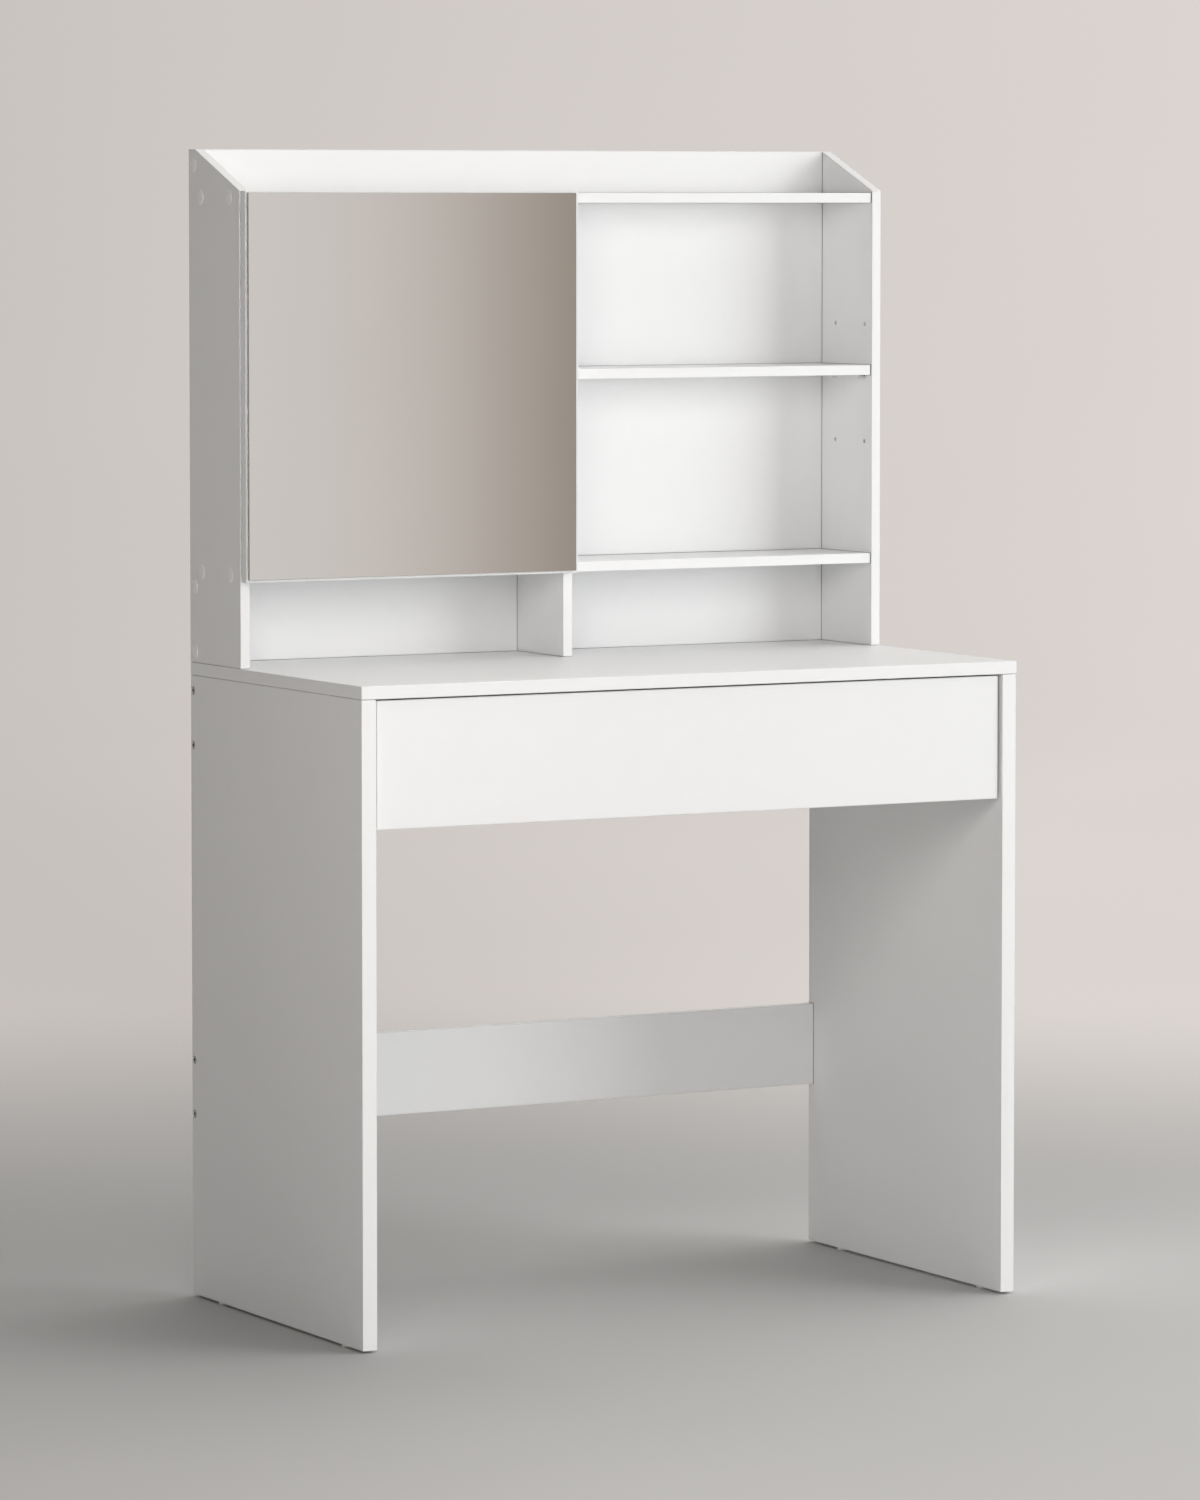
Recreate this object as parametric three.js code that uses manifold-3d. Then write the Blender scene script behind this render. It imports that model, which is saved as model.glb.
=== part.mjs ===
// Dressing table: a desk with one wide drawer, and on it a low hutch with a
// mirror door, open compartments and a gallery along its top.
//
// Millimetres, +Z up. X runs from the left side to the right, -Y is the front,
// +Y the rear. The origin is on the floor, in the middle of the footprint.

import * as THREE from 'three';
import { mergeVertices } from 'three/addons/utils/BufferGeometryUtils.js';
import Module from 'manifold-3d';

const wasm = await Module();
wasm.setup();

// ---------------------------------------------------------------- dimensions

const WIDTH = 860;            // tabletop and hutch, side to side
const DEPTH = 450;            // tabletop, front to rear
const DESK_H = 750;           // floor to the top of the tabletop
const TOTAL_H = 1350;         // floor to the top of the hutch

const GAP = 0.3;              // between boards that touch

// desk
const TOP_T = 15;             // tabletop thickness
const SIDE_T = 18;            // desk side thickness
const SIDE_INSET = 0.5;       // desk side behind the tabletop's end
const TOP_LIP = 1;            // tabletop in front of the sides
const RAIL_T = 12;            // rear rails
const RAIL_H = 100;
const RAIL_LOW_Z = 199;       // underside of the lower rail
const SCREW_PITCH = 64;       // two screws in each rail end
const GLIDE_H = 3;            // feet under the sides
const GLIDE_R = 8.5;
const GLIDE_REAR = 72;        // from the rear edge
const GLIDE_FRONT = 396;

// drawer
const FRONT_T = 15;
const FRONT_SET = 5;          // drawer front behind the sides' front edges
const FRONT_GAP = 3.5;        // each side of the drawer front
const FRONT_H = 145;
const FRONT_TOP_GAP = 2;
const BOX_T = 12;             // drawer box boards
const BOX_Z0 = 600, BOX_Z1 = 700;
const BOX_REAR = 195.7;
const SLIDE_T = 12.7;         // space for the slide at each side
const BOTTOM_T = 3.2;
const BOTTOM_Z = 608;
const GROOVE_H = 3.8, GROOVE_D = 6;

// slides
const SLIDE_Z = 650;
const SLIDE_L = 400;
const SLIDE_MID_L = 380;

// hutch
const HUTCH_T = 12;           // all hutch boards
const HUTCH_D = 137;          // depth of its sides
const HUTCH_SET = 2;          // shelves and dividers behind the sides' edges
const END_GAP = 0.7;          // fixed shelves' ends, short of the sides
const SLOPE_FLAT = 17;        // flat part of the sides' top, at the rear
const SLOPE_FRONT_Z = 1302;   // height of the sides' front edge
const BACK_IN = 6;            // back boards in from the rear
const SHELF_LOW_Z = 850.5;    // underside of the lower fixed shelf
const SHELF_TOP_Z = 1287.5;   // underside of the upper fixed shelf
const SHELF_MID_Z = 1079;     // underside of the adjustable shelves
const PIN_R = 2.5;
const PIN_HOLE_R = 2.8;
const PIN_ROWS = [998.3, SHELF_MID_Z - PIN_R - GAP, 1140.5];
const PIN_COLS = [50.5, 119.5];   // from the rear

// mirror door
const DOOR_T = 12;
const DOOR_GAP = 2.5;         // between the door and the sides' front edges
const DOOR_X0 = -429.5, DOOR_X1 = 5.3;
const DOOR_Z0 = 850.5, DOOR_Z1 = 1301.5;
const MIRROR_T = 4;
const MIRROR_X0 = -427.3, MIRROR_X1 = 0.5;
const MIRROR_Z0 = 853.4, MIRROR_Z1 = 1299.4;
const HINGE_Z = [930, 1222];
const CUP_R = 13, CUP_D = 9, CUP_IN = 20;

// derived
const X = WIDTH / 2;
const REAR = DEPTH / 2;
const FRONT = -DEPTH / 2;
const TOP_Z0 = DESK_H - TOP_T;
const SX1 = X - SIDE_INSET;               // desk side, outer face
const SX0 = SX1 - SIDE_T;                 // desk side, inner face
const SIDE_FRONT = FRONT + TOP_LIP;
const SIDE_TOP = TOP_Z0 - GAP;
const HX = X - HUTCH_T;                   // hutch side, inner face
const HUTCH_FRONT = REAR - HUTCH_D;
const SHELF_FRONT = HUTCH_FRONT + HUTCH_SET;
const BACK_Y0 = REAR - BACK_IN - HUTCH_T; // front face of the back boards
const BACK_Y1 = REAR - BACK_IN;
const DOOR_Y1 = HUTCH_FRONT - DOOR_GAP;   // door, back face
const DOOR_Y0 = DOOR_Y1 - DOOR_T;         // door, front face

// ----------------------------------------------------------------- materials

const board = (color, roughness = 0.45) => new THREE.MeshStandardMaterial({ color, roughness, metalness: 0 });
const WHITE = () => board(0xefeeec);
const INNER = () => board(0xeceae7, 0.5);
const BOTTOM = () => board(0xe6e3de, 0.6);
const STEEL = () => new THREE.MeshStandardMaterial({ color: 0xb9bbbd, roughness: 0.32, metalness: 1 });
const NICKEL = () => new THREE.MeshStandardMaterial({ color: 0xc9c8c4, roughness: 0.22, metalness: 1 });
const PLASTIC = () => new THREE.MeshStandardMaterial({ color: 0xdedcd8, roughness: 0.5, metalness: 0 });
const MIRROR = () => new THREE.MeshStandardMaterial({ color: 0xdfe3e1, roughness: 0.03, metalness: 1 });

// ------------------------------------------------------------------- helpers

// A closed mesh with shared vertices, no empty triangles, faces pointing out.
function closed(geometry) {
  const g = geometry.clone();
  for (const name of Object.keys(g.attributes)) if (name !== 'position') g.deleteAttribute(name);
  const m = mergeVertices(g, 1e-4);
  const p = m.getAttribute('position');
  const src = m.getIndex() ? Array.from(m.getIndex().array) : [...Array(p.count).keys()];
  const tri = [];
  let volume = 0;
  for (let i = 0; i < src.length; i += 3) {
    const [a, b, c] = [src[i], src[i + 1], src[i + 2]];
    if (a === b || b === c || c === a) continue;
    tri.push(a, b, c);
    volume += p.getX(a) * (p.getY(b) * p.getZ(c) - p.getZ(b) * p.getY(c))
            - p.getY(a) * (p.getX(b) * p.getZ(c) - p.getZ(b) * p.getX(c))
            + p.getZ(a) * (p.getX(b) * p.getY(c) - p.getY(b) * p.getX(c));
  }
  if (volume < 0) for (let i = 0; i < tri.length; i += 3) [tri[i + 1], tri[i + 2]] = [tri[i + 2], tri[i + 1]];
  m.setIndex(tri);
  return m;
}

function toSolid(geometry) {
  const m = closed(geometry);
  return new wasm.Manifold(new wasm.Mesh({
    numProp: 3,
    vertProperties: new Float32Array(m.getAttribute('position').array),
    triVerts: new Uint32Array(m.getIndex().array),
  }));
}

function fromSolid(solid) {
  const mesh = solid.getMesh();
  const g = new THREE.BufferGeometry();
  const v = new Float32Array(mesh.numVert * 3);
  for (let i = 0; i < mesh.numVert; i++) {
    for (let k = 0; k < 3; k++) v[i * 3 + k] = mesh.vertProperties[i * mesh.numProp + k];
  }
  g.setAttribute('position', new THREE.BufferAttribute(v, 3));
  g.setIndex(Array.from(mesh.triVerts));
  return g;
}

const cut = (a, ...tools) => fromSolid(tools.reduce((s, t) => s.subtract(toSolid(t)), toSolid(a)));
const join = (a, ...others) => fromSolid(others.reduce((s, t) => s.add(toSolid(t)), toSolid(a)));

// A block between two corners.
function block(x0, x1, y0, y1, z0, z1) {
  return new THREE.BoxGeometry(x1 - x0, y1 - y0, z1 - z0)
    .translate((x0 + x1) / 2, (y0 + y1) / 2, (z0 + z1) / 2);
}

// A round bar from a point along X, Y or Z.
function bar(axis, x, y, z, length, r, segments = 24) {
  const g = new THREE.CylinderGeometry(r, r, length, segments).translate(0, length / 2, 0);
  if (axis === 'x') g.rotateZ(-Math.PI / 2);
  if (axis === 'z') g.rotateX(Math.PI / 2);
  return g.translate(x, y, z);
}

// A turned piece. Its profile [radius, height] starts and ends on the axis.
function turned(profile, segments = 28) {
  return new THREE.LatheGeometry(profile.map(([r, h]) => new THREE.Vector2(r, h)), segments);
}

// A flat outline [x, y] raised along Z between two heights.
function raised(outline, z0, z1) {
  const s = new THREE.Shape(outline.map(([x, y]) => new THREE.Vector2(x, y)));
  return new THREE.ExtrudeGeometry(s, { depth: z1 - z0, bevelEnabled: false }).translate(0, 0, z0);
}

// A ring sector around (cx, cy) between two angles in degrees.
function sector(cx, cy, r0, r1, a0, a1, z0, z1, steps = 14) {
  const outline = [];
  for (let i = 0; i <= steps; i++) {
    const a = THREE.MathUtils.degToRad(a0 + (a1 - a0) * i / steps);
    outline.push([cx + r1 * Math.cos(a), cy + r1 * Math.sin(a)]);
  }
  for (let i = steps; i >= 0; i--) {
    const a = THREE.MathUtils.degToRad(a0 + (a1 - a0) * i / steps);
    outline.push([cx + r0 * Math.cos(a), cy + r0 * Math.sin(a)]);
  }
  return raised(outline, z0, z1);
}

const table = new THREE.Group();

// Adds a piece whose geometry is given in the table's frame: the mesh stands
// at the middle of its piece.
function add(name, geometry, material, group = table) {
  const g = closed(geometry);
  g.computeBoundingBox();
  const centre = g.boundingBox.getCenter(new THREE.Vector3());
  g.translate(-centre.x, -centre.y, -centre.z);
  const flat = g.toNonIndexed();
  flat.computeVertexNormals();
  const mesh = new THREE.Mesh(flat, material);
  mesh.name = name;
  mesh.position.copy(centre);
  group.add(mesh);
  return mesh;
}

// ---------------------------------------------------------------------- desk

const desk = new THREE.Group();
table.add(desk);

add('desk_top', block(-X, X, FRONT, REAR, TOP_Z0, DESK_H), WHITE(), desk);

const RAIL_UP_Z = SIDE_TOP - RAIL_H;
const SCREW_Y = REAR - RAIL_T / 2;
const SCREW_ZS = [RAIL_LOW_Z, RAIL_UP_Z].flatMap((z) => [z + RAIL_H / 2 - SCREW_PITCH / 2, z + RAIL_H / 2 + SCREW_PITCH / 2]);
const GLIDE_YS = [REAR - GLIDE_REAR, REAR - GLIDE_FRONT];
const GLIDE_X = (SX0 + SX1) / 2;
const HEAD_R = 4.6, HEAD_POCKET_R = 4.95, SHANK_R = 2.5, SHANK_HOLE_R = 2.85;

for (const [side, s] of [['left', -1], ['right', 1]]) {
  const [a, b] = s < 0 ? [-SX1, -SX0] : [SX0, SX1];
  const tools = [];
  for (const z of SCREW_ZS) {
    tools.push(bar('x', a - 1, SCREW_Y, z, SIDE_T + 2, SHANK_HOLE_R, 20));
    tools.push(bar('x', s < 0 ? a - 1 : b - 2.7, SCREW_Y, z, 3.7, HEAD_POCKET_R, 24));
  }
  for (const y of GLIDE_YS) tools.push(bar('z', s * GLIDE_X, y, GLIDE_H - 1, 14.5, 1.9, 12));
  add(`desk_side_${side}`, cut(block(a, b, SIDE_FRONT, REAR, GLIDE_H, SIDE_TOP), ...tools), WHITE(), desk);
}

const RX = SX0 - GAP;
for (const [name, z] of [['lower', RAIL_LOW_Z], ['upper', RAIL_UP_Z]]) {
  const tools = [];
  for (const sz of [z + RAIL_H / 2 - SCREW_PITCH / 2, z + RAIL_H / 2 + SCREW_PITCH / 2]) {
    tools.push(bar('x', -RX - 1, SCREW_Y, sz, 36, SHANK_HOLE_R, 20));
    tools.push(bar('x', RX - 35, SCREW_Y, sz, 36, SHANK_HOLE_R, 20));
  }
  add(`rear_rail_${name}`, cut(block(-RX, RX, REAR - RAIL_T, REAR, z, z + RAIL_H), ...tools), WHITE(), desk);
}

// Screws through the sides into the rails, their heads just below the surface
// of the side, with a round socket in the head.
for (const [side, s] of [['left', -1], ['right', 1]]) {
  SCREW_ZS.forEach((z, i) => {
    const g = turned([[0, -1.5], [2, -1.5], [2, 0], [HEAD_R - 0.3, 0], [HEAD_R, -0.3], [HEAD_R, -2.2],
      [SHANK_R, -2.4], [SHANK_R, -46], [1.2, -49], [0, -49.5]], 24);
    // the head looks outwards
    g.rotateZ(s < 0 ? Math.PI / 2 : -Math.PI / 2).translate(s * (SX1 - 0.15), SCREW_Y, z);
    add(`rail_screw_${side}_${i + 1}`, g, NICKEL(), desk);
  });
}

// Nail-on glides: a dished disc and its nail.
for (const [side, s] of [['left', -1], ['right', 1]]) {
  for (const [end, y] of [['rear', GLIDE_YS[0]], ['front', GLIDE_YS[1]]]) {
    const h = GLIDE_H - GAP;
    const g = turned([[0, 0], [GLIDE_R - 1.6, 0], [GLIDE_R - 0.5, 0.6], [GLIDE_R, 1.4], [GLIDE_R, h], [1.5, h], [1.5, h + 11], [0, h + 12.5]], 28);
    g.rotateX(Math.PI / 2).translate(s * GLIDE_X, y, 0);
    add(`glide_${end}_${side}`, g, PLASTIC(), desk);
  }
}

// -------------------------------------------------------------------- drawer

const drawer = new THREE.Group();
table.add(drawer);

const FX = SX0 - FRONT_GAP;
const FY0 = SIDE_FRONT + FRONT_SET, FY1 = FY0 + FRONT_T;
const FZ1 = TOP_Z0 - FRONT_TOP_GAP, FZ0 = FZ1 - FRONT_H;
const BX1 = SX0 - SLIDE_T, BX0 = BX1 - BOX_T;      // drawer side, outer and inner face
const BOX_Y0 = FY1 + GAP;
const GZ0 = BOTTOM_Z - (GROOVE_H - BOTTOM_T) / 2, GZ1 = GZ0 + GROOVE_H;
const BACK_T = BOX_T;

add('drawer_front', cut(block(-FX, FX, FY0, FY1, FZ0, FZ1),
  block(-BX0 - GROOVE_D, BX0 + GROOVE_D, FY1 - GROOVE_D, FY1 + 1, GZ0, GZ1)), WHITE(), drawer);
for (const [side, s] of [['left', -1], ['right', 1]]) {
  const [a, b] = s < 0 ? [-BX1, -BX0] : [BX0, BX1];
  const groove = s < 0 ? block(b - GROOVE_D, b + 1, BOX_Y0 - 1, BOX_REAR + 1, GZ0, GZ1)
                       : block(a - 1, a + GROOVE_D, BOX_Y0 - 1, BOX_REAR + 1, GZ0, GZ1);
  add(`drawer_side_${side}`, cut(block(a, b, BOX_Y0, BOX_REAR, BOX_Z0, BOX_Z1), groove), INNER(), drawer);
}
add('drawer_back', block(-BX0 + GAP, BX0 - GAP, BOX_REAR - BACK_T, BOX_REAR, BOTTOM_Z + BOTTOM_T + GAP, BOX_Z1), INNER(), drawer);
add('drawer_bottom', block(-BX0 - GROOVE_D + 0.5, BX0 + GROOVE_D - 0.5, FY1 - GROOVE_D + 0.5, BOX_REAR - 0.2, BOTTOM_Z, BOTTOM_Z + BOTTOM_T), BOTTOM(), drawer);

// Telescopic slides. A member is a channel along Y, seen from the front as an
// outline [s, z]: s counts from the desk side's inner face into the drawer.
function channel(outline, s, y0, y1) {
  const shape = new THREE.Shape(outline.map(([a, z]) => new THREE.Vector2(s * (SX0 - a), z + SLIDE_Z)));
  const g = new THREE.ExtrudeGeometry(shape, { depth: y1 - y0, bevelEnabled: false });
  g.rotateX(Math.PI / 2);      // the outline's height becomes +Z, its depth -Y
  return g.translate(0, y1, 0);
}
const CABINET = [[0.3, -22.5], [8.5, -22.5], [8.5, -21.3], [1.5, -21.3], [1.5, 21.3], [8.5, 21.3], [8.5, 22.5], [0.3, 22.5]];
const MIDDLE = [[4.6, -19.2], [9.8, -19.2], [9.8, -18], [5.8, -18], [5.8, 18], [9.8, 18], [9.8, 19.2], [4.6, 19.2]];
const DRAWER = [[12.4, -15.7], [7, -15.7], [7, -14.5], [11.2, -14.5], [11.2, 14.5], [7, 14.5], [7, 15.7], [12.4, 15.7]];
const SLIDE_Y0 = FY1 + 1.5;
for (const [side, s] of [['left', -1], ['right', 1]]) {
  add(`slide_cabinet_member_${side}`, channel(CABINET, s, SLIDE_Y0, SLIDE_Y0 + SLIDE_L), STEEL(), desk);
  add(`slide_middle_member_${side}`, channel(MIDDLE, s, SLIDE_Y0 + 3, SLIDE_Y0 + 3 + SLIDE_MID_L), STEEL(), drawer);
  add(`slide_drawer_member_${side}`, channel(DRAWER, s, SLIDE_Y0 - 0.8, SLIDE_Y0 + SLIDE_L - 8), STEEL(), drawer);
}

// --------------------------------------------------------------------- hutch

const hutch = new THREE.Group();
table.add(hutch);

const HZ0 = DESK_H + GAP;
const SIDE_OUTLINE = [           // [y, z], seen from the side
  [REAR, HZ0], [REAR, TOTAL_H], [REAR - SLOPE_FLAT, TOTAL_H], [HUTCH_FRONT, SLOPE_FRONT_Z], [HUTCH_FRONT, HZ0],
];
function sideBoard(x0, x1) {
  const shape = new THREE.Shape(SIDE_OUTLINE.map(([y, z]) => new THREE.Vector2(y, z)));
  const g = new THREE.ExtrudeGeometry(shape, { depth: x1 - x0, bevelEnabled: false });
  // outline x -> Y, outline y -> Z, depth -> X
  g.applyMatrix4(new THREE.Matrix4().makeBasis(new THREE.Vector3(0, 1, 0), new THREE.Vector3(0, 0, 1), new THREE.Vector3(1, 0, 0)));
  return g.translate(x0, 0, 0);
}
// Blind holes for the shelf pins, from a face at x into the board.
function pinHoles(x, into, depth) {
  const tools = [];
  for (const z of PIN_ROWS) {
    for (const c of PIN_COLS) {
      tools.push(bar('x', into > 0 ? x - 1 : x - depth, REAR - c, z, depth + 1, PIN_HOLE_R, 16));
    }
  }
  return tools;
}
add('hutch_side_left', cut(sideBoard(-X, -HX), ...pinHoles(-HX, -1, 8)), WHITE(), hutch);
add('hutch_side_right', cut(sideBoard(HX, X), ...pinHoles(HX, 1, 8)), WHITE(), hutch);

const BX = HX - GAP, EX = HX - END_GAP;
add('hutch_bottom_shelf', block(-EX, EX, SHELF_FRONT, BACK_Y1, SHELF_LOW_Z, SHELF_LOW_Z + HUTCH_T), WHITE(), hutch);
add('hutch_top_shelf', block(-EX, EX, SHELF_FRONT, BACK_Y1, SHELF_TOP_Z, SHELF_TOP_Z + HUTCH_T), WHITE(), hutch);
add('hutch_back_lower', block(-BX, BX, BACK_Y0, BACK_Y1, HZ0, SHELF_LOW_Z - GAP), WHITE(), hutch);
add('hutch_back_middle', block(-BX, BX, BACK_Y0, BACK_Y1, SHELF_LOW_Z + HUTCH_T + GAP, SHELF_TOP_Z - GAP), WHITE(), hutch);
add('hutch_back_top', block(-BX, BX, BACK_Y0, BACK_Y1, SHELF_TOP_Z + HUTCH_T + GAP, TOTAL_H), WHITE(), hutch);
add('divider_lower', block(-HUTCH_T / 2, HUTCH_T / 2, SHELF_FRONT, BACK_Y0 - GAP, HZ0, SHELF_LOW_Z - GAP), WHITE(), hutch);
add('divider_upper', cut(block(-HUTCH_T / 2, HUTCH_T / 2, SHELF_FRONT, BACK_Y0 - GAP, SHELF_LOW_Z + HUTCH_T + GAP, SHELF_TOP_Z - GAP),
  ...pinHoles(HUTCH_T / 2, -1, 5.3), ...pinHoles(-HUTCH_T / 2, 1, 5.3)), WHITE(), hutch);

// Adjustable shelves on four pins each.
const SX_GAP = 0.8;
add('adjustable_shelf_right', block(HUTCH_T / 2 + SX_GAP, HX - SX_GAP, SHELF_FRONT, BACK_Y0 - 1, SHELF_MID_Z, SHELF_MID_Z + HUTCH_T), WHITE(), hutch);
add('adjustable_shelf_left', block(-HX + SX_GAP, -HUTCH_T / 2 - SX_GAP, SHELF_FRONT + 9, BACK_Y0 - 1, SHELF_MID_Z, SHELF_MID_Z + HUTCH_T), WHITE(), hutch);

function pin(x, into, inside, y, z) {
  const outside = 7.5, c = 0.4;
  const g = turned([[0, 0], [PIN_R - c, 0], [PIN_R, c], [PIN_R, inside + outside - c], [PIN_R - c, inside + outside], [0, inside + outside]], 20);
  // its blind end lies in the board, its free end points away from it
  g.rotateZ(into < 0 ? -Math.PI / 2 : Math.PI / 2);
  return g.translate(x + into * inside, y, z);
}
for (const [place, y] of [['rear', REAR - PIN_COLS[0]], ['front', REAR - PIN_COLS[1]]]) {
  const z = PIN_ROWS[1];
  add(`shelf_pin_left_outer_${place}`, pin(-HX, -1, 7.4, y, z), NICKEL(), hutch);
  add(`shelf_pin_left_inner_${place}`, pin(-HUTCH_T / 2, 1, 4.8, y, z), NICKEL(), hutch);
  add(`shelf_pin_right_inner_${place}`, pin(HUTCH_T / 2, -1, 4.8, y, z), NICKEL(), hutch);
  add(`shelf_pin_right_outer_${place}`, pin(HX, 1, 7.4, y, z), NICKEL(), hutch);
}

// --------------------------------------------------------------- mirror door

const door = new THREE.Group();
table.add(door);

// The door turns about the vertical line through its rear left corner.
const CX = DOOR_X0, CY = DOOR_Y1;
add('mirror_door', cut(block(DOOR_X0, DOOR_X1, DOOR_Y0, DOOR_Y1, DOOR_Z0, DOOR_Z1),
  ...HINGE_Z.map((z) => bar('y', CX + CUP_IN, DOOR_Y1 - CUP_D - 0.5, z, CUP_D + 1.5, CUP_R + 0.4, 32))), WHITE(), door);
add('mirror', block(MIRROR_X0, MIRROR_X1, DOOR_Y0 - GAP - MIRROR_T, DOOR_Y0 - GAP, MIRROR_Z0, MIRROR_Z1), MIRROR(), door);

// Concealed hinges. On the hutch side: a mounting plate with a channel-shaped
// arm and a cross pin at its nose. In the door: a cup with its flange and a
// curved arm. Between them: a curved link that turns with the door at a third
// of its angle, so that it still bridges the two when the door stands open.
// The two curved pieces lie on rings around the door's axis.
const LINK_R = [17.6, 19.6], ARM_R = [20.2, 22.2], LINK_HZ = 3.8;
HINGE_Z.forEach((z, i) => {
  const where = ['lower', 'upper'][i];
  const x = (v) => CX + v, y = (v) => CY + v;

  const cheek = (z0, z1) => raised([[x(11.8), y(50)], [x(11.8), y(7)], [x(12.6), y(4)], [x(13.8), y(3.1)], [x(15.8), y(3.1)],
    [x(17.2), y(4.2)], [x(20), y(13)], [x(20), y(50)]], z + z0, z + z1);
  add(`hinge_arm_${where}`, join(
    block(x(11.8), x(13.6), y(20), y(56), z - 8, z + 8),
    block(x(11.8), x(13.3), y(30), y(43), z - 17, z + 17),
    block(x(18.6), x(20), y(24), y(50), z - 6, z + 6),
    cheek(-6, -4.6), cheek(4.6, 6),
    bar('z', x(14.8), y(5.4), z - 6, 12, 1.5, 16),
    bar('x', x(13), y(36.5), z - 12, 1.8, 3.4, 20),
    bar('x', x(13), y(36.5), z + 12, 1.8, 3.4, 20),
    bar('x', x(19), y(32), z, 2, 3, 20),
  ), STEEL(), hutch);

  const cup = turned([[0, -CUP_D], [CUP_R - 0.6, -CUP_D], [CUP_R, -CUP_D + 0.6], [CUP_R, 1.3], [CUP_R - 1, 1.3], [CUP_R - 1, -CUP_D + 1], [0, -CUP_D + 1]], 36)
    .translate(x(CUP_IN), CY, z);
  const wing = 8, reach = 24, c = 5;
  const cx = x(CUP_IN);
  // the flange: an upright plate with round corners, on the door's back
  const outline = [];
  for (const [ox, oz, a0] of [[wing - c, reach - c, 0], [-wing + c, reach - c, 90], [-wing + c, -reach + c, 180], [wing - c, -reach + c, 270]]) {
    for (let k = 0; k <= 4; k++) {
      const a = THREE.MathUtils.degToRad(a0 + k * 22.5);
      outline.push([ox + c * Math.cos(a), oz + c * Math.sin(a)]);
    }
  }
  const plate = raised(outline, 0, 1);
  plate.rotateX(-Math.PI / 2);          // outline y -> -Z, height -> +Y
  plate.translate(cx, y(0.3), z);
  const rim = bar('y', cx, y(0.3), z, 1, CUP_R + 1.4, 36);
  const hole = bar('y', cx, y(-1), z, 4, CUP_R - 1, 36);
  add(`hinge_cup_${where}`, fromSolid(
    toSolid(plate).add(toSolid(rim)).subtract(toSolid(hole)).add(toSolid(cup))
      .add(toSolid(bar('y', cx, y(1), z - 18.5, 1.2, 3.1, 20)))
      .add(toSolid(bar('y', cx, y(1), z + 18.5, 1.2, 3.1, 20)))
      .add(toSolid(sector(CX, CY, ARM_R[0], ARM_R[1], -23, 44, z - LINK_HZ, z + LINK_HZ)))), STEEL(), door);

  add(`hinge_link_${where}`, sector(CX, CY, LINK_R[0], LINK_R[1], -22, 44, z - LINK_HZ, z + LINK_HZ), STEEL(), door);
});

export default table;
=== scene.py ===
import math

import bmesh
import bpy
from mathutils import Matrix, Vector


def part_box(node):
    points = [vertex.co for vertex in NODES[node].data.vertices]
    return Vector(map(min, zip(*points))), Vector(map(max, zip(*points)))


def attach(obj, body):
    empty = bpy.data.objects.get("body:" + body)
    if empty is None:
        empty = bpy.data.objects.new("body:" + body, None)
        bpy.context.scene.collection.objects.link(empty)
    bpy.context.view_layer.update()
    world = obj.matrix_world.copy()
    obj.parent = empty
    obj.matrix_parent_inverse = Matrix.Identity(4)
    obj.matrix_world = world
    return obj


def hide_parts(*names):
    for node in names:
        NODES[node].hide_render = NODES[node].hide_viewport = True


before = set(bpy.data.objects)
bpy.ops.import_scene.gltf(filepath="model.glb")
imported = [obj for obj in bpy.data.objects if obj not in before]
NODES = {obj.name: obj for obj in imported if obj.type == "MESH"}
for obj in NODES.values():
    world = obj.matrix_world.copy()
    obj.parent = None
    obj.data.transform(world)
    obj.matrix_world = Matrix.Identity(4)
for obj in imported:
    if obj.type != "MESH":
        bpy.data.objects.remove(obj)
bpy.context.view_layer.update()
SCENE = bpy.context.scene

# --------------------------------------------------------------- levels
# Everything that sets the light is kept here.

WHITE = 0.92             # how much the white boards reflect
KEYS = [                 # soft lights: place, aimed at, width, height, power, colour, seen in reflections
    ("key_far", (5.0, -5.5, 2.1), (0.0, 0.0, 0.9), 3.9, 3.4, 98.5, (0.955, 0.995, 1.0)),
    ("key_near", (2.56, -2.25, 1.15), (0.0, 0.0, 0.85), 2.1, 2.1, 25.5, (0.98, 0.985, 1.0)),
    ("fill_front", (-0.4, -8.0, 0.9), (0.0, 0.0, 0.7), 5.0, 2.6, 42.0, (0.93, 0.96, 1.0)),
    ("fill_left", (-1.3, -1.9, 1.5), (-0.33, 0.0, 0.9), 0.9, 0.9, 15.9, (1.0, 0.955, 0.92)),
    ("soft_rear", (3.4, 6.4, 1.5), (0.0, 0.0, 0.8), 3.5, 2.4, 80.0, (1.0, 0.985, 0.97), False),
]
SKY_COLOUR = (0.98, 0.962, 0.935)
SKY_BASE = 0.0           # radiance all round
SKY_LOBES = [            # direction, how tight, radiance added
    ((0.75, 0.0, 0.7), 3.0, 2.46),
]
FLOOR_COLOUR = (0.525, 0.523, 0.521)
WALL_COLOUR = (0.50, 0.495, 0.49)
PALE = (0.715, 0.668, 0.638)   # the colour the backdrop glows with: painted light, as the camera and reflections see it

# ---------------------------------------------------------- small helpers


def link_object(name, mesh):
    obj = bpy.data.objects.new(name, mesh)
    SCENE.collection.objects.link(obj)
    return obj


def from_bmesh(name, bm, sharp_deg=30.0):
    bmesh.ops.recalc_face_normals(bm, faces=bm.faces)
    mesh = bpy.data.meshes.new(name)
    bm.to_mesh(mesh)
    bm.free()
    for p in mesh.polygons:
        p.use_smooth = True
    mesh.set_sharp_from_angle(angle=math.radians(sharp_deg))
    return link_object(name, mesh)


def basis(axis):
    """A rotation that takes +Z to the axis."""
    return Vector((0, 0, 1)).rotation_difference(Vector(axis).normalized()).to_matrix().to_4x4()


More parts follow.
